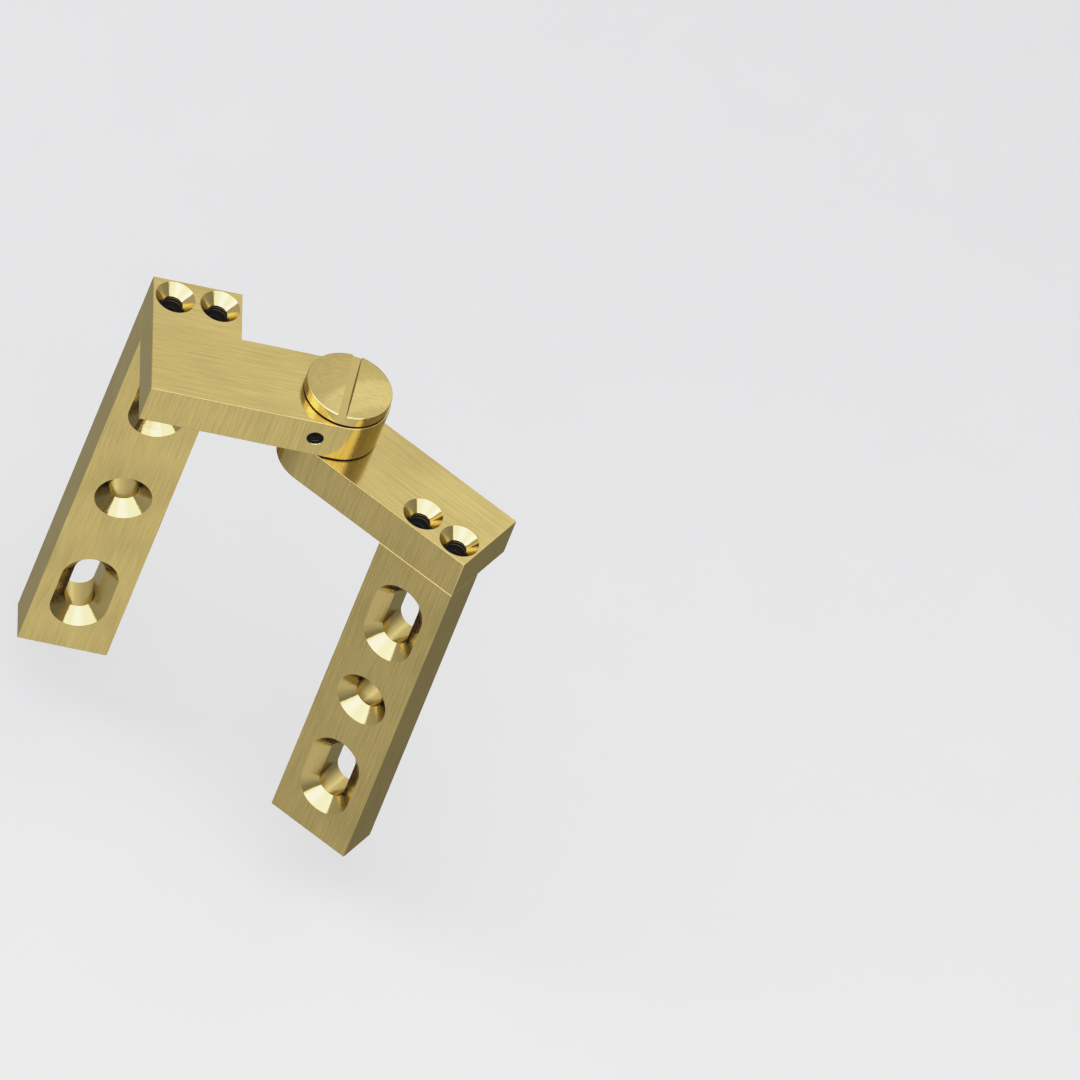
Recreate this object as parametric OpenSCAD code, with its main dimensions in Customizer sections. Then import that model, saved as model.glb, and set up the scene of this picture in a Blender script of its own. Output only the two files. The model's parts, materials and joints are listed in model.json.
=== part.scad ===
// Offset pivot hinge for the top of an inset door: a frame leaf, a door leaf and a pivot pin.
// Axes: +Z up along the pivot axis, +X from the frame leg to the pivot, +Y to the legs' backs.
// Origin: on the pivot axis, at the underside of the door plate.

/* [Plates] */
// Width of each plate's arm, and the diameter of its round eye
plate_width = 20; // [18:0.5:28]
// Thickness of each plate
plate_thick = 10; // [8:0.5:14]
// Pivot axis to the outer end of the frame plate
frame_reach = 43.5; // [36:0.5:70]
// Pivot axis to the outer end of the door plate
door_reach = 43.5; // [36:0.5:70]
// Free height between the two plates
plate_gap = 0.3; // [0.3:0.1:1]

/* [Legs] */
// Width of each leg, and of the frame plate's tab above it
leg_width = 20; // [16:0.5:24]
// Thickness of each leg
leg_thick = 10; // [9:0.5:14]
// Length of the frame leg below its plate
frame_leg_length = 97.2; // [75:0.1:140]
// Length of the door leg below its plate
door_leg_length = 85.3; // [75:0.1:140]
// Gap between the two legs' front faces with the door closed
closed_gap = 3.3; // [2:0.1:6]

/* [Fixing holes in the legs] */
// Diameter of the holes and width of the slots
fixing_d = 6.6; // [4.5:0.1:7.5]
// Diameter of their countersinks at the leg's face
fixing_sink_d = 12.5; // [9:0.1:15]
// Travel of a screw along each slot
slot_travel = 8.6; // [4:0.1:11]
// Leg's end to the middle of the nearest slot
slot_inset = 17.7; // [16:0.1:22]

/* [Joining screws] */
// Pitch diameter of their thread, at which thread and hole are drawn plain
joint_d = 4.5; // [3.5:0.1:5.4]
// Diameter of the countersinks above them
joint_sink_d = 8.9; // [6:0.1:9.2]
// Distance between the two screws of a leg
joint_spacing = 10; // [9.5:0.1:12]
// Depth of each screw's top below the plate's top
joint_recess = 4.5; // [3:0.1:6]
// Material between a threaded hole's end and the nearest slot
joint_end_wall = 1.1; // [0.8:0.1:3]
// Free length of thread below each screw's tip
joint_tip_gap = 0.6; // [0.2:0.1:1.5]
// Width across flats of their hexagon sockets
joint_key = 2.5; // [1.5:0.1:2.8]
// Depth of their hexagon sockets
joint_key_depth = 2.5; // [1.5:0.1:4]

/* [Pivot pin] */
// Diameter of the pin's head
head_d = 19.2; // [16:0.1:24]
// Height of the head's rim
head_rim = 2.5; // [1.5:0.1:4]
// Rise of the head's dome above its rim
head_crown = 1.6; // [0.5:0.1:2.5]
// Width of the driver slot
driver_width = 2; // [1:0.1:3]
// Depth of the driver slot below the rim
driver_depth = 0.5; // [0.3:0.1:1]
// Direction of the driver slot, from the frame plate's length
driver_angle = 80.5; // [0:0.5:180]
// Pitch diameter of the pin's thread in the frame plate
pin_thread_d = 12; // [10.5:0.1:14.5]
// Diameter of the plain shank in the bush
pin_shank_d = 10; // [6:0.1:10.4]
// Thickness of the shim under the head
shim_thick = 0.3; // [0.2:0.05:0.6]
// Inset of the shim's and the washer's rims from the head's rim
shim_inset = 1; // [0.5:0.1:2]

/* [Pivot bush] */
// Radial running clearance of the shank in its bush
running_clearance = 0.05; // [0.02:0.01:0.1]
// Wall of the bush
bush_wall = 1.5; // [1:0.1:2]
// Floor left in the door plate under the bush
pocket_floor = 2; // [1:0.1:3]
// Free depth under the end of the pin
pin_end_gap = 0.5; // [0.3:0.1:1]
// Thickness of the thrust washer on the door plate
washer_thick = 0.2; // [0.1:0.05:0.25]
// Radial clearance of washer and shim around the pin
washer_clearance = 0.5; // [0.2:0.1:1]

/* [Pin lock] */
// Pitch diameter of the lock screw's thread
lock_d = 3.55; // [2.6:0.05:4.2]
// Distance of the lock screw's axis from the pivot axis
lock_offset = 5.4; // [4.2:0.1:6.4]
// Depth of the lock screw below the plate's edge
lock_recess = 1.2; // [0.5:0.1:1.5]
// Length of the pad between the lock screw and the pin's near flank
lock_pad_length = 0.8; // [0.5:0.1:1.2]
// Radial clearance of the pad in its hole
lock_pad_clearance = 0.1; // [0.05:0.05:0.3]
// Width across flats of the lock screw's hexagon socket
lock_key = 2; // [1.2:0.1:2.2]
// Depth of the lock screw's hexagon socket
lock_key_depth = 1.8; // [1:0.1:2]

/* [Pose] */
// Direction of the door plate: -180 is closed, 0 is open in line with the frame plate
door_angle = -35.2; // [-180:0.1:117]

/* [Hidden] */

$fn = 96;
// Overlap of every cutter past the face that it opens
cut = 1;

// Heights, from the underside of the door plate
frame_plate_z = plate_thick + plate_gap;
frame_top_z = frame_plate_z + plate_thick;
head_z = frame_top_z + shim_thick;

// Plan positions
frame_leg_x = -frame_reach + leg_width / 2;
door_leg_x = door_reach - leg_width / 2;
frame_leg_front = plate_width / 2 + closed_gap;
frame_leg_back = frame_leg_front + leg_thick;
door_leg_front = -plate_width / 2;

// Depth of the threaded holes in the legs' upper ends
joint_depth = slot_inset - slot_travel / 2 - fixing_d / 2 - joint_end_wall;
joint_length = plate_thick - joint_recess + joint_depth - joint_tip_gap;

// Pivot radii
dome_r = (pow(head_d / 2, 2) + pow(head_crown, 2)) / (2 * head_crown);
bush_bore_r = pin_shank_d / 2 + running_clearance;
bush_r = bush_bore_r + bush_wall;
shim_r = head_d / 2 - shim_inset;

// Pin lock, measured towards the front from the pivot axis
lock_z = frame_plate_z + plate_thick / 2;
pin_flank = sqrt(pow(pin_thread_d / 2, 2) - pow(lock_offset - lock_d / 2, 2));
lock_hole_end = pin_flank / 2;
lock_tip = pin_flank + lock_pad_length;
lock_head = plate_width / 2 - lock_recess;

// Round hole, or slot running along Z, through `depth` from y = 0 back to y = depth
module slot_bar(r1, r2, depth, travel) {
    half = travel / 2;
    for (z = [-half, half]) {
        translate([0, 0, z]) rotate([-90, 0, 0]) cylinder(r1 = r1, r2 = r2, h = depth);
    }
    if (travel > 0) {
        translate([0, 0, -half]) linear_extrude(travel) {
            polygon([[-r1, 0], [r1, 0], [r2, depth], [-r2, depth]]);
        }
    }
}

// Countersunk hole or slot through a leg, from its front face at y = 0
module fixing_hole(travel) {
    hole_r = fixing_d / 2;
    sink_r = fixing_sink_d / 2;
    translate([0, -cut, 0]) slot_bar(hole_r, hole_r, leg_thick + 2 * cut, travel);
    translate([0, -cut, 0]) slot_bar(sink_r + cut, hole_r, sink_r - hole_r + cut, travel);
}

// Places its children at the two joining screws of a leg, at the leg's upper end
module at_joint_screws() {
    for (x = [-joint_spacing / 2, joint_spacing / 2]) {
        translate([x, leg_thick / 2, 0]) children();
    }
}

// Joining hole through a plate, from the plate's underside at z = 0
module joint_plate_hole() {
    hole_r = joint_d / 2;
    sink_r = joint_sink_d / 2;
    sink_depth = sink_r - hole_r;
    translate([0, 0, -cut]) cylinder(r = hole_r, h = plate_thick + 2 * cut);
    translate([0, 0, plate_thick - sink_depth]) {
        cylinder(r1 = hole_r, r2 = sink_r + cut, h = sink_depth + cut);
    }
}

// Headless screw with a hexagon socket, standing on z = 0
module socket_screw(d, length, key, key_depth) {
    difference() {
        cylinder(d = d, h = length);
        translate([0, 0, length - key_depth]) {
            linear_extrude(key_depth + cut) circle(d = key / cos(30), $fn = 6);
        }
    }
}

// The two joining screws of a leg, from the leg's upper end at z = 0
module joint_screws() {
    at_joint_screws() {
        translate([0, 0, joint_tip_gap - joint_depth]) {
            socket_screw(joint_d, joint_length, joint_key, joint_key_depth);
        }
    }
}

// Leg hanging from z = 0, front face at y = 0
module leg(length) {
    difference() {
        translate([-leg_width / 2, 0, -length]) cube([leg_width, leg_thick, length]);
        translate([0, 0, -length / 2]) fixing_hole(0);
        for (z = [slot_inset, length - slot_inset]) {
            translate([0, 0, -z]) fixing_hole(slot_travel);
        }
        at_joint_screws() translate([0, 0, -joint_depth]) cylinder(d = joint_d, h = joint_depth + cut);
    }
}

// Plan of an arm with its round eye, running along +X
module arm_plan(reach) {
    circle(d = plate_width);
    translate([0, -plate_width / 2]) square([reach, plate_width]);
}

// Door leaf's own frame: its arm runs along +X until it is turned to the pose
module door_frame() {
    rotate([0, 0, door_angle]) children();
}

// Lock screw's frame: z runs from the front edge's side back to the pin
module lock_frame() {
    translate([-lock_offset, 0, lock_z]) rotate([90, 0, 0]) children();
}

module frame_plate() {
    color("#b9a768") difference() {
        translate([0, 0, frame_plate_z]) linear_extrude(plate_thick) {
            mirror([1, 0]) arm_plan(frame_reach);
            translate([-frame_reach, 0]) square([leg_width, frame_leg_back]);
        }
        translate([0, 0, frame_plate_z - cut]) cylinder(d = pin_thread_d, h = plate_thick + 2 * cut);
        translate([frame_leg_x, frame_leg_front, frame_plate_z]) at_joint_screws() joint_plate_hole();
        lock_frame() translate([0, 0, lock_hole_end]) cylinder(d = lock_d, h = plate_width / 2);
    }
}

module frame_leg() {
    color("#b3a062") translate([frame_leg_x, frame_leg_front, frame_plate_z]) leg(frame_leg_length);
}

module frame_leg_screws() {
    color("#4a4740") translate([frame_leg_x, frame_leg_front, frame_plate_z]) joint_screws();
}

module pivot_pin() {
    shank_end = pocket_floor + pin_end_gap;
    color("#c2ae6a") difference() {
        union() {
            translate([0, 0, head_z]) cylinder(d = head_d, h = head_rim);
            intersection() {
                translate([0, 0, head_z]) cylinder(d = head_d, h = head_rim + head_crown + cut);
                translate([0, 0, head_z + head_rim + head_crown - dome_r]) sphere(r = dome_r);
            }
            translate([0, 0, frame_plate_z]) cylinder(d = pin_thread_d, h = head_z - frame_plate_z + cut);
            translate([0, 0, shank_end]) cylinder(d = pin_shank_d, h = frame_top_z - shank_end);
        }
        translate([0, 0, head_z + head_rim - driver_depth]) rotate([0, 0, driver_angle]) {
            translate([-head_d, -driver_width / 2, 0]) cube([2 * head_d, driver_width, head_crown + 2 * cut]);
        }
    }
}

module head_shim() {
    color("#2c2a26") translate([0, 0, frame_top_z]) difference() {
        cylinder(r = shim_r, h = shim_thick);
        translate([0, 0, -cut]) cylinder(r = pin_thread_d / 2 + washer_clearance, h = shim_thick + 2 * cut);
    }
}

module pin_lock_screw() {
    color("#4a4740") lock_frame() translate([0, 0, lock_tip]) {
        socket_screw(lock_d, lock_head - lock_tip, lock_key, lock_key_depth);
    }
}

module pin_lock_pad() {
    pad_d = lock_d - 2 * lock_pad_clearance;
    color("#c9a24a") difference() {
        lock_frame() translate([0, 0, lock_hole_end]) cylinder(d = pad_d, h = lock_tip - lock_hole_end);
        translate([0, 0, frame_plate_z]) cylinder(d = pin_thread_d, h = plate_thick);
    }
}

module door_plate() {
    color("#b9a768") door_frame() difference() {
        linear_extrude(plate_thick) arm_plan(door_reach);
        translate([0, 0, pocket_floor]) cylinder(r = bush_r, h = plate_thick);
        translate([door_leg_x, door_leg_front, 0]) at_joint_screws() joint_plate_hole();
    }
}

module door_leg() {
    color("#b3a062") door_frame() translate([door_leg_x, door_leg_front, 0]) leg(door_leg_length);
}

module door_leg_screws() {
    color("#4a4740") door_frame() translate([door_leg_x, door_leg_front, 0]) joint_screws();
}

module pivot_bush() {
    color("#3a3833") translate([0, 0, pocket_floor]) difference() {
        cylinder(r = bush_r, h = plate_thick - pocket_floor);
        translate([0, 0, -cut]) cylinder(r = bush_bore_r, h = plate_thick + 2 * cut);
    }
}

module thrust_washer() {
    color("#2c2a26") translate([0, 0, plate_thick]) difference() {
        cylinder(r = shim_r, h = washer_thick);
        translate([0, 0, -cut]) cylinder(r = pin_shank_d / 2 + washer_clearance, h = washer_thick + 2 * cut);
    }
}

frame_plate();
frame_leg();
frame_leg_screws();
pivot_pin();
head_shim();
pin_lock_screw();
pin_lock_pad();
door_plate();
door_leg();
door_leg_screws();
pivot_bush();
thrust_washer();
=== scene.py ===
"""Offset pivot hinge in brushed brass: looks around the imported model, in metres."""
import json
import math

import bmesh
import bpy
from mathutils import Matrix, Vector
from mathutils.bvhtree import BVHTree


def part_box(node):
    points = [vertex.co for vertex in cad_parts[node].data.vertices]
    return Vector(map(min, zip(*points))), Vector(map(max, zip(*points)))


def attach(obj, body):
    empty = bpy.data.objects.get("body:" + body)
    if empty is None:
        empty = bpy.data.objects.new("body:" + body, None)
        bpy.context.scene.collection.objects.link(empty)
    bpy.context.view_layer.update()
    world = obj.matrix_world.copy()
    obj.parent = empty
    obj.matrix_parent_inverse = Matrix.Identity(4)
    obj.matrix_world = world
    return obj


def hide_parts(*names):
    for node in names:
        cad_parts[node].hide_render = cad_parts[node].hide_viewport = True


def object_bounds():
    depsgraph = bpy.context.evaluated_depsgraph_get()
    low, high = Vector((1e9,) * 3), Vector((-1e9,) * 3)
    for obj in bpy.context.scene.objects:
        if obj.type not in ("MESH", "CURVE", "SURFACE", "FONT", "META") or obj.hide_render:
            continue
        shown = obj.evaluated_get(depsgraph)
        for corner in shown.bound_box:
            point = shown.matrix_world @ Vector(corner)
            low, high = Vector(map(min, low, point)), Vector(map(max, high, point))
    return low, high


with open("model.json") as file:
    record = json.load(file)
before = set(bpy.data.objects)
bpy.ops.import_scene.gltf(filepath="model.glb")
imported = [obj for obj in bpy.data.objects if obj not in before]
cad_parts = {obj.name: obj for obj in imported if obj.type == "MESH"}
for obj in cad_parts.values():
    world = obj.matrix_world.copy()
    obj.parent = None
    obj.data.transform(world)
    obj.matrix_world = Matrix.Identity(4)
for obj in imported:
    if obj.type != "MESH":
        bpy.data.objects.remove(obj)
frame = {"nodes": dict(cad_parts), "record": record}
cad_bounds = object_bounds()

MM = 0.001

# Camera: a parallel projection, turned about the pivot axis, raised and rolled
CAMERA_AZIMUTH = math.radians(-15.3)
CAMERA_ELEVATION = math.radians(44.6)
CAMERA_ROLL = math.radians(22.5)
CAMERA_DISTANCE = 0.8
VIEW_WIDTH = 232.3 * MM
# The middle of the view, seen from the pivot axis at the frame plate's top
VIEW_RIGHT = 41.64 * MM
VIEW_DOWN = 31.29 * MM

# Stage
FLOOR_GAP = 20 * MM
FLOOR_RADIUS = 3.0
FLOOR_GRAIN = 25 * MM
FLOOR_LIGHT = (0.50, 0.50, 0.452, 1)
FLOOR_DARK = (0.49, 0.49, 0.443, 1)
# Painted light falloff on the floor: it is lighter by this share this far down the view, and darker by it
# this far up
FLOOR_PAINTED_FALLOFF = 0.065
FLOOR_SPAN = 160 * MM
BACKGROUND = (1.0, 1.0, 1.0, 1)

# Softboxes: their blue tint and their distance from the pivot
LIGHT_COLOR = (0.96, 0.97, 1.2)
LIGHT_DISTANCE = 1.2
# Name, longitude, latitude, width, height and roll in degrees, then radiance
SOFTBOXES = (("key_softbox", -5, 8, 106, 84, 0, 2.6),
             ("core_softbox", 2, 4, 30, 60, 0, 1.3),
             ("left_softbox", -40, 42, 26, 32, 0, 2.3),
             ("side_softbox", 73, 57, 75, 22, -15, 0.3))

# Radiance of the sky by direction, from 0 straight down the view to 1 straight up it
SKY = ((0.0, 1.08), (0.06, 0.85), (0.15, 0.50), (0.27, 0.38), (0.42, 0.42), (0.55, 0.56),
       (0.68, 0.72), (0.82, 0.98), (1.0, 0.96))
# Added above on the right and below on the left, and taken away on the other sides
SKY_SIDE = 0.45

# Shoulder of the picture's tone, as (radiance, shown) pairs
TONE = ((0.0, 0.008), (0.15, 0.155), (0.3, 0.3), (0.45, 0.45), (0.6, 0.59), (0.8, 0.73), (1.1, 0.84),
        (1.6, 0.91), (2.4, 0.95), (4.0, 0.985))

# Brass: light and dark tones of its streaks, and its colour at a glancing view
BRASS_LIGHT = (0.575, 0.454, 0.166, 1)
BRASS_DARK = (0.425, 0.331, 0.119, 1)
BRASS_GLANCE = (0.70, 0.66, 0.50, 1)
# Brass of the pin slot's walls and of the threaded holes, darkened as painted shade of these narrow
# recesses
SLOT_SHADE_LIGHT = (0.16, 0.12, 0.05, 1)
SLOT_SHADE_DARK = (0.10, 0.075, 0.03, 1)
# Painted shade of the deep threaded holes: their brass is made nearly black
HOLE_SHADE_LIGHT = (0.060, 0.045, 0.022, 1)
HOLE_SHADE_DARK = (0.035, 0.026, 0.014, 1)
# Black oxide steel and black plastic, with the size of their grain
STEEL_DARK = (0.012, 0.011, 0.010, 1)
STEEL_LIGHT = (0.035, 0.032, 0.028, 1)
STEEL_GRAIN = 0.15 * MM
PLASTIC_DARK = (0.012, 0.012, 0.012, 1)
PLASTIC_LIGHT = (0.022, 0.022, 0.021, 1)
PLASTIC_GRAIN = 0.1 * MM

# Rounded edges of the CAD nodes, in the looks only
PLATE_EDGE = 0.22 * MM
LEG_EDGE = 0.12 * MM
SMALL_EDGE = 0.08 * MM
SHIM_EDGE = 0.04 * MM
EDGE_SEGMENTS = 3
# Edges sharper than the first angle are rounded, and than the second are shaded as corners
EDGE_ANGLE = math.radians(60)
CORNER_ANGLE = math.radians(35)
# Faces that meet flatter than this become one, and points this close together become one
FLAT_ANGLE = math.radians(0.4)
WELD_REACH = 0.001 * MM

# Sizes of the streaks: length along the brushing and width across it
STREAK_LENGTH = 13 * MM
STREAK_WIDTH = 0.19 * MM
HAIR_LENGTH = 5 * MM
HAIR_WIDTH = 0.11 * MM
CLOUD_SIZE = 14 * MM
# Share of the long streaks in the relief, and of the relief in the colour
STREAK_SHARE = 0.7
RELIEF_SHARE = 0.8
# A face is level if its normal's height is over the first value; no normal reaches the second
LEVEL_TILT = 0.6
NO_TILT = 2.0
# Noise lies mostly between these values
NOISE_LOW = 0.3
NOISE_HIGH = 0.7
# Pitch and depth of the cutter's rings in the holes
RING_PITCH = 0.06 * MM
RING_DEPTH = 0.012 * MM

# Pivot pin: its rim and crown stand on the shim under its head
PIN_HEAD_R = 9.6 * MM
PIN_RIM = 2.5 * MM
PIN_CROWN = 1.6 * MM
PIN_THREAD_R = 6 * MM
PIN_SHANK_R = 5 * MM
DRIVER_WIDTH = 2 * MM
DRIVER_DEPTH = 0.5 * MM
DRIVER_TURN = math.radians(80.5)
PIN_EDGE = 0.2 * MM
PIN_CHAMFER = 0.1 * MM
# Faces of the pin along a half disc's arc, along its straight side, across the slot's end, and
# around its rounded rim
ARC_STEPS = 96
CHORD_STEPS = 40
SLOT_STEPS = 6
RIM_STEPS = 4

# Thread left open above the screws: joining holes and the lock hole
JOINT_SPACING = 10 * MM
JOINT_R = 2.25 * MM
JOINT_PITCH = 0.8 * MM
JOINT_SINK = 2.2 * MM
JOINT_RECESS = 4.5 * MM
LOCK_R = 1.775 * MM
LOCK_PITCH = 0.7 * MM
LOCK_RECESS = 1.2 * MM
# Thread's ridge: faces a turn, height and half width in pitches, and how far it is set into the wall
THREAD_STEPS = 40
THREAD_DEPTH = 0.3
THREAD_FLANK = 0.42
THREAD_SUNK = 0.02 * MM
# At each end the ridge starts at this share of its height and grows by a tenth a step
THREAD_START = 0.15
THREAD_RUN_IN = 10


# ---------------------------------------------------------------- directions

def camera_axes():
    """Right, up and back of the photo's viewing angle."""
    turn = Matrix.Rotation(CAMERA_AZIMUTH, 3, "Z")
    right = turn @ Vector((1, 0, 0))
    level = turn @ Vector((0, -1, 0))
    back = level * math.cos(CAMERA_ELEVATION) + Vector((0, 0, math.sin(CAMERA_ELEVATION)))
    roll = Matrix.Rotation(CAMERA_ROLL, 3, back)
    return roll @ right, roll @ back.cross(right), back


RIGHT, UP, BACK = camera_axes()


def studio(longitude, latitude):
    """Direction in the studio: 0, 0 is towards the camera, longitude goes to its right."""
    lon = math.radians(longitude)
    lat = math.radians(latitude)
    level = BACK * math.cos(lon) + RIGHT * math.sin(lon)
    return level * math.cos(lat) + UP * math.sin(lat)


def mount_axis(name):
    for mount in frame["record"]["mounts"]:
        if mount["name"] == name:
            return Vector(mount["axis"])
    raise ValueError(name)


def leaf_turn(back_mount):
    """Turn of a leaf about the pivot axis, from the direction of its leg's back."""
    back = mount_axis(back_mount)
    return math.atan2(-back.x, back.y)


FRAME_TURN = leaf_turn("frame_leg_back")
DOOR_TURN = leaf_turn("door_leg_back")


# ------------------------------------------------------------ shader helpers

class Tree:
    """A node tree with short calls."""

    def __init__(self, owner):
        owner.use_nodes = True
        self.tree = owner.node_tree
        self.tree.nodes.clear()

    def add(self, kind, inputs=None, **settings):
        made = self.tree.nodes.new(kind)
        for key, value in settings.items():
            setattr(made, key, value)
        for key, value in (inputs or {}).items():
            self.put(made.inputs[key], value)
        return made

    def put(self, socket, value):
        if isinstance(value, bpy.types.NodeSocket):
            self.tree.links.new(value, socket)
        else:
            socket.default_value = value

    def math(self, operation, *values):
        made = self.add("ShaderNodeMath", operation=operation)
        for socket, value in zip(made.inputs, values):
            self.put(socket, value)
        return made.outputs[0]

    def vector(self, operation, *values):
        made = self.add("ShaderNodeVectorMath", operation=operation)
        for socket, value in zip(made.inputs, values):
            self.put(socket, value)
        return made.outputs["Value" if operation == "DOT_PRODUCT" else "Vector"]

    def noise(self, vector, scale=1.0, detail=2.0, roughness=0.5):
        made = self.add("ShaderNodeTexNoise",
                        {"Vector": vector, "Scale": scale, "Detail": detail, "Roughness": roughness})
        return made.outputs["Fac"]

    def remap(self, value, low, high, to_low, to_high):
        made = self.add("ShaderNodeMapRange",
                        {"Value": value, "From Min": low, "From Max": high,
                         "To Min": to_low, "To Max": to_high})
        return made.outputs["Result"]

    def spread(self, noise, low, high):
        """Noise stretched to run from low to high."""
        return self.remap(noise, NOISE_LOW, NOISE_HIGH, low, high)

    def ramp(self, value, stops):
        """Grey ramp through (position, level) stops."""
        made = self.add("ShaderNodeValToRGB", {"Fac": value})
        made.color_ramp.interpolation = "B_SPLINE"
        points = made.color_ramp.elements
        while len(points) < len(stops):
            points.new(0.5)
        for point, (position, grey) in zip(points, stops):
            point.position = position
            point.color = (grey, grey, grey, 1)
        return made.outputs["Color"]

    def mix(self, kind, factor, a, b):
        made = self.add("ShaderNodeMix", data_type=kind)
        pick = {"FLOAT": "Float", "VECTOR": "Vector", "RGBA": "Color"}[kind]
        self.put(made.inputs[0], factor)
        for name, value in (("A", a), ("B", b)):
            socket = [s for s in made.inputs if s.identifier == f"{name}_{pick}"][0]
            self.put(socket, value)
        return [s for s in made.outputs if s.identifier == f"Result_{pick}"][0]


def brass(name, turn, roughness, bump, tone, level_top=True, light=BRASS_LIGHT, dark=BRASS_DARK,
          bore=None):
    """Brass brushed along the leaf on level faces and along the pivot axis on upright ones.

    A larger tone makes its streaks stronger. A hole along the direction `bore` has the cutter's
    rings around it."""
    material = bpy.data.materials.new(name)
    t = Tree(material)
    coords = t.add("ShaderNodeTexCoord")
    place = t.add("ShaderNodeVectorRotate",
                  {"Vector": coords.outputs["Object"], "Angle": -turn}, rotation_type="Z_AXIS").outputs[0]
    tilt = t.add("ShaderNodeSeparateXYZ", {"Vector": coords.outputs["Normal"]}).outputs["Z"]
    level = t.math("GREATER_THAN", t.math("ABSOLUTE", tilt), LEVEL_TILT if level_top else NO_TILT)

    def streaks(length, width, detail):
        across = 1 / width
        along = 1 / length
        scale = t.mix("VECTOR", level, (across, across, along), (along, across, across))
        return t.noise(t.vector("MULTIPLY", place, scale), detail=detail, roughness=0.6)

    coarse = streaks(STREAK_LENGTH, STREAK_WIDTH, 3.0)
    fine = streaks(HAIR_LENGTH, HAIR_WIDTH, 1.0)
    cloud = t.noise(place, scale=1 / CLOUD_SIZE, detail=1.0)
    height = t.math("ADD", t.math("MULTIPLY", coarse, STREAK_SHARE),
                    t.math("MULTIPLY", fine, 1 - STREAK_SHARE))
    shade = t.math("ADD", t.math("MULTIPLY", height, RELIEF_SHARE),
                   t.math("MULTIPLY", cloud, 1 - RELIEF_SHARE))
    shade = t.remap(shade, 0.5 - 0.5 / tone, 0.5 + 0.5 / tone, 0.0, 1.0)
    color = t.mix("RGBA", shade, dark, light)
    gloss = t.spread(fine, roughness * 0.85, roughness * 1.2)
    relief = t.add("ShaderNodeBump", {"Height": height, "Strength": 1.0, "Distance": bump})
    if bore:
        depth = t.vector("DOT_PRODUCT", coords.outputs["Object"], tuple(bore / RING_PITCH))
        rings = t.noise(t.add("ShaderNodeCombineXYZ", {"X": depth}).outputs[0], detail=1.0)
        relief = t.add("ShaderNodeBump", {"Height": rings, "Strength": 1.0, "Distance": RING_DEPTH,
                                          "Normal": relief.outputs["Normal"]})
    shader = t.add("ShaderNodeBsdfPrincipled",
                   {"Base Color": color, "Metallic": 1.0, "Roughness": gloss,
                    "Normal": relief.outputs["Normal"]})
    shader.inputs["Specular Tint"].default_value = BRASS_GLANCE
    t.add("ShaderNodeOutputMaterial", {"Surface": shader.outputs[0]})
    return material


def plain(name, dark, light, metallic, roughness, grain):
    """Dark steel or plastic with a fine grain."""
    material = bpy.data.materials.new(name)
    t = Tree(material)
    place = t.add("ShaderNodeTexCoord").outputs["Object"]
    speck = t.noise(place, scale=1 / grain, detail=4.0, roughness=0.6)
    color = t.mix("RGBA", t.spread(speck, 0.0, 1.0), dark, light)
    gloss = t.spread(speck, roughness * 0.8, roughness * 1.2)
    relief = t.add("ShaderNodeBump", {"Height": speck, "Strength": 0.3, "Distance": grain * 0.1})
    shader = t.add("ShaderNodeBsdfPrincipled",
                   {"Base Color": color, "Metallic": metallic, "Roughness": gloss,
                    "Normal": relief.outputs["Normal"]})
    t.add("ShaderNodeOutputMaterial", {"Surface": shader.outputs[0]})
    return material


# ------------------------------------------------------------------ CAD nodes

def dress(name, outside, edge, inside=None, hole_shade_brass=None, axis=None):
    """Gives a node its materials, rounds its edges and smooths its round walls."""
    node = frame["nodes"][name]
    mesh = node.data
    mesh.materials.clear()
    mesh.materials.append(outside)
    if inside:
        mesh.materials.append(inside)
        mesh.materials.append(hole_shade_brass)
        mark_holes(mesh, axis)
    for face in mesh.polygons:
        face.use_smooth = True
    node.modifiers.new("weld", "WELD").merge_threshold = WELD_REACH
    flat = node.modifiers.new("flat", "DECIMATE")
    flat.decimate_type = "DISSOLVE"
    flat.angle_limit = FLAT_ANGLE
    flat.delimit = {"MATERIAL"}
    bevel = node.modifiers.new("edges", "BEVEL")
    bevel.width = edge
    bevel.segments = EDGE_SEGMENTS
    bevel.limit_method = "ANGLE"
    bevel.angle_limit = EDGE_ANGLE
    bevel.use_clamp_overlap = False
    shade_corners(node)


def shade_corners(piece):
    """Keeps round walls smooth and corners crisp."""
    piece.modifiers.new("corners", "EDGE_SPLIT").split_angle = CORNER_ANGLE
    piece.modifiers.new("normals", "WEIGHTED_NORMAL")


def mark_holes(mesh, axis):
    """Second material on faces that see the same part close by, or slope to the holes' axis.

    The third, for the walls of the narrow threaded holes, is brass darkened as painted shade of these
    deep holes."""
    reach = 15 * MM
    narrow = 6 * MM
    lift = 0.01 * MM
    upright, level = 0.1, 0.99
    points = [v.co for v in mesh.vertices]
    tree = BVHTree.FromPolygons(points, [list(p.vertices) for p in mesh.polygons])
    for face in mesh.polygons:
        slope = abs(face.normal.dot(axis))
        gap = tree.ray_cast(face.center + face.normal * lift, face.normal, reach)[3]
        if upright < slope < level or gap is not None:
            face.material_index = 2 if gap is not None and gap < narrow else 1


# ----------------------------------------------------------------- new pieces

def finish_piece(name, bm, body, material):
    """Turns mesh code into a piece that rides on a body."""
    bmesh.ops.remove_doubles(bm, verts=bm.verts, dist=0.0005 * MM)
    bmesh.ops.recalc_face_normals(bm, faces=bm.faces)
    mesh = bpy.data.meshes.new(name)
    bm.to_mesh(mesh)
    bm.free()
    mesh.materials.append(material)
    for face in mesh.polygons:
        face.use_smooth = True
    piece = bpy.data.objects.new(name, mesh)
    bpy.context.scene.collection.objects.link(piece)
    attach(piece, body)
    return piece


def bridge(bm, lower, upper, closed=True):
    count = len(lower)
    for i in range(count if closed else count - 1):
        j = (i + 1) % count
        bm.faces.new((lower[i], lower[j], upper[j], upper[i]))


# ------------------------------------------------------------------ pivot pin

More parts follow.
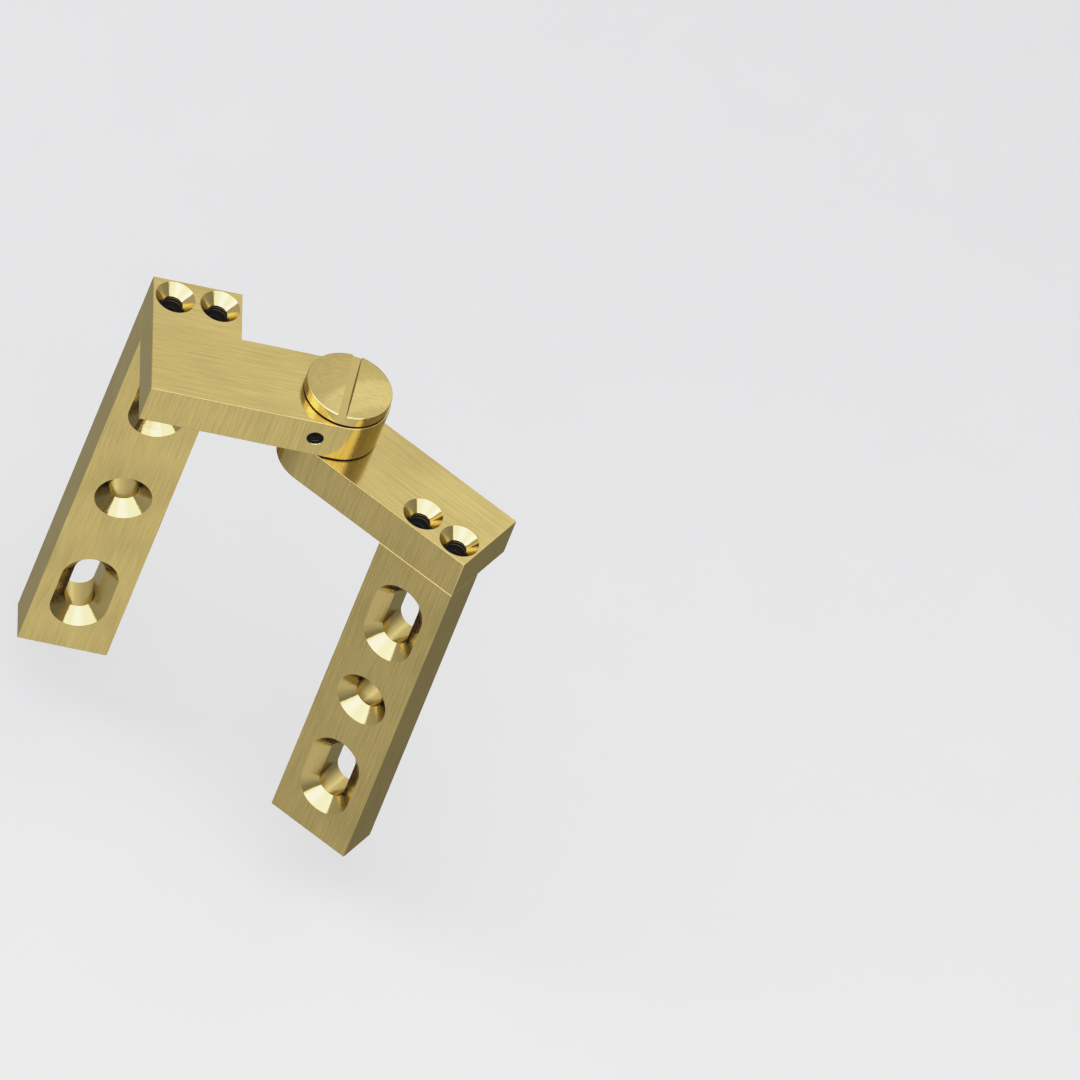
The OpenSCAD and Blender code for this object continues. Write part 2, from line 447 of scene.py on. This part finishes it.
SHIM_TOP = Vector(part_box("head_shim")[1]).z
THREAD_END = Vector(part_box("frame_plate")[0]).z
PIN_END = Vector(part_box("pivot_pin")[0]).z
SLOT_FLOOR = SHIM_TOP + PIN_RIM - DRIVER_DEPTH
# The dome is a cap of a sphere
DOME_R = (PIN_HEAD_R ** 2 + PIN_CROWN ** 2) / (2 * PIN_CROWN)
DOME_CENTRE = SHIM_TOP + PIN_RIM + PIN_CROWN - DOME_R
# Half the angle that each half disc's arc takes
ARC_REACH = math.acos(DRIVER_WIDTH / 2 / PIN_HEAD_R)


def dome_z(x, y):
    return DOME_CENTRE + math.sqrt(DOME_R ** 2 - x * x - y * y)


def half_disc(inset):
    """Outline right of the slot: its arc, drawn in by the inset, then its straight side."""
    r = PIN_HEAD_R - inset
    x = DRIVER_WIDTH / 2
    reach = math.acos(x / r)
    arc = [(r * math.cos(a), r * math.sin(a)) for a in
           (reach * (2 * i / ARC_STEPS - 1) for i in range(ARC_STEPS + 1))]
    y = r * math.sin(reach)
    side = [(x, y * (1 - 2 * i / CHORD_STEPS)) for i in range(1, CHORD_STEPS)]
    return arc + side


def add_half_head(bm, sign):
    """Half of the head, right of the slot or turned round to its left; returns its lowest ring."""
    def ring(points, heights):
        return [bm.verts.new((sign * x, sign * y, z)) for (x, y), z in zip(points, heights)]

    base = half_disc(0)
    rows = [ring(base, [SLOT_FLOOR] * len(base))]
    for step in range(RIM_STEPS + 1):
        lean = math.pi / 2 * step / RIM_STEPS
        points = half_disc(PIN_EDGE * (1 - math.cos(lean)))
        drop = PIN_EDGE * (1 - math.sin(lean))
        rows.append(ring(points, [dome_z(x, y) - drop for x, y in points]))
    edge = half_disc(PIN_EDGE)
    middle = PIN_HEAD_R / 2
    for share in [0.99, 0.95] + [tenth / 10 for tenth in range(9, 0, -1)]:
        points = [(middle + (x - middle) * share, y * share) for x, y in edge]
        rows.append(ring(points, [dome_z(x, y) for x, y in points]))
    for lower, upper in zip(rows, rows[1:]):
        bridge(bm, lower, upper)
    pole = bm.verts.new((sign * middle, 0, dome_z(middle, 0)))
    last = rows[-1]
    for i, vert in enumerate(last):
        bm.faces.new((vert, last[(i + 1) % len(last)], pole))
    return rows[0]


def add_pin_body(bm, right_half, left_half):
    """Slot's floor between the two halves, and the turned body under it."""
    angles = []
    gap = math.pi - 2 * ARC_REACH
    for start in (0, math.pi):
        angles += [start + ARC_REACH * (2 * i / ARC_STEPS - 1) for i in range(ARC_STEPS + 1)]
        angles += [start + ARC_REACH + gap * i / SLOT_STEPS for i in range(1, SLOT_STEPS)]

    def turned(r, z):
        return [bm.verts.new((r * math.cos(a), r * math.sin(a), z)) for a in angles]

    top = turned(PIN_HEAD_R, SLOT_FLOOR)
    right = right_half[ARC_STEPS:] + right_half[:1]
    left = left_half[ARC_STEPS:] + left_half[:1]
    bridge(bm, right, left[::-1], closed=False)
    bm.faces.new(top[ARC_STEPS:ARC_STEPS + 1 + SLOT_STEPS])
    bm.faces.new(top[-SLOT_STEPS:] + top[:1])
    profile = ((PIN_HEAD_R, SHIM_TOP + PIN_CHAMFER), (PIN_HEAD_R - PIN_CHAMFER, SHIM_TOP),
               (PIN_THREAD_R, SHIM_TOP), (PIN_THREAD_R, THREAD_END), (PIN_SHANK_R, THREAD_END),
               (PIN_SHANK_R, PIN_END + PIN_CHAMFER), (PIN_SHANK_R - PIN_CHAMFER, PIN_END))
    rows = [top] + [turned(r, z) for r, z in profile]
    for lower, upper in zip(rows, rows[1:]):
        bridge(bm, lower, upper)
    bm.faces.new(rows[-1])


def is_slot_wall(face):
    upright = abs(face.normal.z) < 0.1
    return upright and face.center.z > SLOT_FLOOR and face.center.xy.length < PIN_HEAD_R - PIN_EDGE


def make_pin(dome_material, rim_material, slot_shade_material):
    """Pin with a slotted, domed head; its dome and the slot's walls have their own materials, the walls'
    brass darkened as painted shade of the narrow slot.
    """
    facing_up = 0.93
    bm = bmesh.new()
    right, left = [add_half_head(bm, sign) for sign in (1, -1)]
    add_pin_body(bm, right, left)
    bmesh.ops.rotate(bm, matrix=Matrix.Rotation(DRIVER_TURN - math.pi / 2, 3, "Z"), verts=bm.verts)
    pin = finish_piece("slotted_pivot_pin", bm, "frame_leaf", rim_material)
    pin.data.materials.append(dome_material)
    pin.data.materials.append(slot_shade_material)
    for face in pin.data.polygons:
        if face.normal.z > facing_up and face.center.z > SLOT_FLOOR + DRIVER_DEPTH:
            face.material_index = 1
        elif is_slot_wall(face):
            # Slot walls get brass darkened as painted shade
            face.material_index = 2
    shade_corners(pin)
    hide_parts("pivot_pin")


# -------------------------------------------------------------------- threads

def add_thread(bm, place, radius, pitch, length):
    """Ridge of an inside thread, winding down from the opening of a hole at `place`."""
    flank = THREAD_FLANK * pitch
    wall = radius + THREAD_SUNK
    count = int(THREAD_STEPS * length / pitch)
    rows = []
    for i in range(count + 1):
        angle = 2 * math.pi * i / THREAD_STEPS
        fall = -length * i / count
        grown = min(1.0, THREAD_START + i / THREAD_RUN_IN, THREAD_START + (count - i) / THREAD_RUN_IN)
        crest = radius - THREAD_DEPTH * pitch * grown
        row = []
        for r, z in ((wall, fall + flank), (crest, fall), (wall, fall - flank)):
            row.append(bm.verts.new(place @ Vector((r * math.cos(angle), r * math.sin(angle), z))))
        rows.append(row)
    for lower, upper in zip(rows, rows[1:]):
        bridge(bm, lower, upper)
    bm.faces.new(rows[0])
    bm.faces.new(rows[-1])


def make_threads(leaf, turn, material):
    """Threads of the two joining holes of a leaf's plate, above its screws."""
    low, high = (Vector(v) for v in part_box(f"{leaf}_leg_screws"))
    top = Vector(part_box(f"{leaf}_plate")[1]).z
    middle = (low + high) / 2
    along = Matrix.Rotation(turn, 3, "Z") @ Vector((1, 0, 0))
    margin = JOINT_PITCH / 2
    bm = bmesh.new()
    for side in (-1, 1):
        centre = middle + along * side * JOINT_SPACING / 2
        start = Vector((centre.x, centre.y, top - JOINT_SINK - margin))
        length = JOINT_RECESS - JOINT_SINK - 2 * margin
        add_thread(bm, Matrix.Translation(start), JOINT_R, JOINT_PITCH, length)
    finish_piece(f"{leaf}_joining_threads", bm, f"{leaf}_leaf", material)


def make_lock_thread(material):
    low, high = (Vector(v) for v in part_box("pin_lock_screw"))
    middle = (low + high) / 2
    front = Vector(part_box("frame_plate")[0]).y
    margin = LOCK_PITCH / 2
    place = Matrix.Translation((middle.x, front + PLATE_EDGE + margin, middle.z))
    bm = bmesh.new()
    add_thread(bm, place @ Matrix.Rotation(math.pi / 2, 4, "X"), LOCK_R, LOCK_PITCH,
               LOCK_RECESS - PLATE_EDGE - margin)
    finish_piece("lock_hole_thread", bm, "frame_leaf", material)


# ---------------------------------------------------------------------- stage

def make_floor():
    """Pale level floor, graded up the view by painted light falloff; reflections don't show it."""
    low = cad_bounds[0]
    bm = bmesh.new()
    bmesh.ops.create_circle(bm, cap_ends=True, radius=FLOOR_RADIUS, segments=64)
    mesh = bpy.data.meshes.new("floor")
    bm.to_mesh(mesh)
    bm.free()
    floor = bpy.data.objects.new("floor", mesh)
    floor.location = (0, 0, low[2] - FLOOR_GAP)
    bpy.context.scene.collection.objects.link(floor)
    material = bpy.data.materials.new("floor")
    t = Tree(material)
    place = t.add("ShaderNodeTexCoord").outputs["Object"]
    speck = t.noise(place, scale=1 / FLOOR_GRAIN, detail=3.0)
    color = t.mix("RGBA", t.spread(speck, 0.0, 1.0), FLOOR_DARK, FLOOR_LIGHT)
    # Painted light falloff: the floor's colour is lighter down the view and darker up it
    away = Vector((UP.x, UP.y, 0)).normalized()
    middle = view_middle().dot(away)
    far = t.vector("DOT_PRODUCT", place, tuple(away))
    painted_falloff = t.remap(far, middle - FLOOR_SPAN, middle + FLOOR_SPAN, 1 + FLOOR_PAINTED_FALLOFF, 1 - FLOOR_PAINTED_FALLOFF)
    color = t.vector("MULTIPLY", color, painted_falloff)
    shader = t.add("ShaderNodeBsdfPrincipled", {"Base Color": color, "Roughness": 0.5})
    shader.inputs["Specular IOR Level"].default_value = 0.2
    t.add("ShaderNodeOutputMaterial", {"Surface": shader.outputs[0]})
    mesh.materials.append(material)
    floor.visible_glossy = False


def softbox(name, longitude, latitude, width, height, roll, radiance):
    """Rectangular light of a given radiance, facing the hinge; all angles in degrees."""
    data = bpy.data.lights.new(name, "AREA")
    data.shape = "RECTANGLE"
    data.size = 2 * LIGHT_DISTANCE * math.tan(math.radians(width / 2))
    data.size_y = 2 * LIGHT_DISTANCE * math.tan(math.radians(height / 2))
    data.energy = radiance * data.size * data.size_y * math.pi
    data.color = LIGHT_COLOR
    light = bpy.data.objects.new(name, data)
    away = studio(longitude, latitude)
    side = UP.cross(away).normalized()
    spin = Matrix((side, away.cross(side), away)).transposed().to_4x4()
    spin = spin @ Matrix.Rotation(math.radians(roll), 4, "Z")
    light.matrix_world = Matrix.Translation(away * LIGHT_DISTANCE) @ spin
    light.visible_camera = False
    bpy.context.scene.collection.objects.link(light)


def make_world():
    """Sky of the studio: pale at the view's top and bottom, darkest a little below the middle.

    The camera sees a plain white backdrop in its place."""
    world = bpy.data.worlds.new("studio")
    bpy.context.scene.world = world
    t = Tree(world)
    way = t.add("ShaderNodeTexCoord").outputs["Generated"]
    height = t.vector("DOT_PRODUCT", way, tuple(UP))
    side = t.vector("DOT_PRODUCT", way, tuple(RIGHT))
    sky = t.ramp(t.remap(height, -1.0, 1.0, 0.0, 1.0), SKY)
    sky = t.math("ADD", sky, t.math("MULTIPLY", t.math("MULTIPLY", side, height), SKY_SIDE))
    light = t.add("ShaderNodeBackground", {"Color": (1, 1, 1, 1), "Strength": sky})
    shown = t.add("ShaderNodeBackground", {"Color": BACKGROUND, "Strength": 1.0})
    seen = t.add("ShaderNodeLightPath").outputs["Is Camera Ray"]
    mixed = t.add("ShaderNodeMixShader", {0: seen, 1: light.outputs[0], 2: shown.outputs[0]})
    t.add("ShaderNodeOutputWorld", {"Surface": mixed.outputs[0]})


def view_middle():
    """Point that the camera looks at."""
    top = Vector(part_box("frame_plate")[1]).z
    return Vector((0, 0, top)) + RIGHT * VIEW_RIGHT - UP * VIEW_DOWN


def make_camera():
    data = bpy.data.cameras.new("camera")
    data.type = "ORTHO"
    data.ortho_scale = VIEW_WIDTH
    camera = bpy.data.objects.new("camera", data)
    spin = Matrix((RIGHT, UP, BACK)).transposed().to_4x4()
    camera.matrix_world = Matrix.Translation(view_middle() + BACK * CAMERA_DISTANCE) @ spin
    bpy.context.scene.collection.objects.link(camera)
    bpy.context.scene.camera = camera


def set_tone():
    """Standard view with a soft shoulder, so that highlights turn cream."""
    view = bpy.context.scene.view_settings
    view.view_transform = "Standard"
    view.use_curve_mapping = True
    brightest = TONE[-1][0]
    curves = view.curve_mapping
    curves.white_level = (brightest, brightest, brightest)
    curves.extend = "HORIZONTAL"
    points = curves.curves[3].points
    while len(points) < len(TONE):
        points.new(0.5, 0.5)
    for point, (radiance, shown) in zip(points, TONE):
        point.location = (radiance / brightest, shown)
        point.handle_type = "AUTO_CLAMPED"
    curves.update()


# ----------------------------------------------------------------- everything

Z_AXIS = Vector((0, 0, 1))
# Brass of the threaded holes and their threads, darkened as painted shade of the deep holes
hole_shade_brass = brass("painted_hole_shade_brass", 0, roughness=0.3, bump=0.004 * MM, tone=1.0, level_top=False,
               light=HOLE_SHADE_LIGHT, dark=HOLE_SHADE_DARK)
for leaf, turn in (("frame", FRAME_TURN), ("door", DOOR_TURN)):
    satin = brass(f"{leaf}_brushed_brass", turn, roughness=0.13, bump=0.014 * MM, tone=5.0)
    leg_axis = mount_axis(f"{leaf}_leg_back")
    for part, axis, edge in ((f"{leaf}_plate", Z_AXIS, PLATE_EDGE), (f"{leaf}_leg", leg_axis, LEG_EDGE)):
        bright = brass(f"{part}_bored_brass", turn, roughness=0.07, bump=0.001 * MM, tone=0.8,
                       level_top=False, bore=axis)
        dress(part, satin, edge, bright, hole_shade_brass, axis)
    make_threads(leaf, turn, hole_shade_brass)
make_lock_thread(hole_shade_brass)

dome = brass("pin_brushed_brass", FRAME_TURN, roughness=0.09, bump=0.010 * MM, tone=4.5)
rim = brass("pin_polished_brass", FRAME_TURN, roughness=0.06, bump=0.001 * MM, tone=0.8, level_top=False)
# Brass of the slot's walls, darkened as painted shade inside the narrow slot
slot_shade_brass = brass("pin_slot_shade_brass", FRAME_TURN, roughness=0.3, bump=0.004 * MM, tone=1.0,
               light=SLOT_SHADE_LIGHT, dark=SLOT_SHADE_DARK)
make_pin(dome, rim, slot_shade_brass)
dress("pin_lock_pad", rim, SMALL_EDGE)
steel = plain("black_oxide_steel", STEEL_DARK, STEEL_LIGHT, metallic=1.0, roughness=0.35,
              grain=STEEL_GRAIN)
for name in ("frame_leg_screws", "door_leg_screws", "pin_lock_screw"):
    dress(name, steel, SMALL_EDGE)
plastic = plain("black_plastic", PLASTIC_DARK, PLASTIC_LIGHT, metallic=0.0, roughness=0.55,
                grain=PLASTIC_GRAIN)
for name in ("head_shim", "thrust_washer", "pivot_bush"):
    dress(name, plastic, SHIM_EDGE)

make_floor()
make_world()
for box in SOFTBOXES:
    softbox(*box)
make_camera()
set_tone()
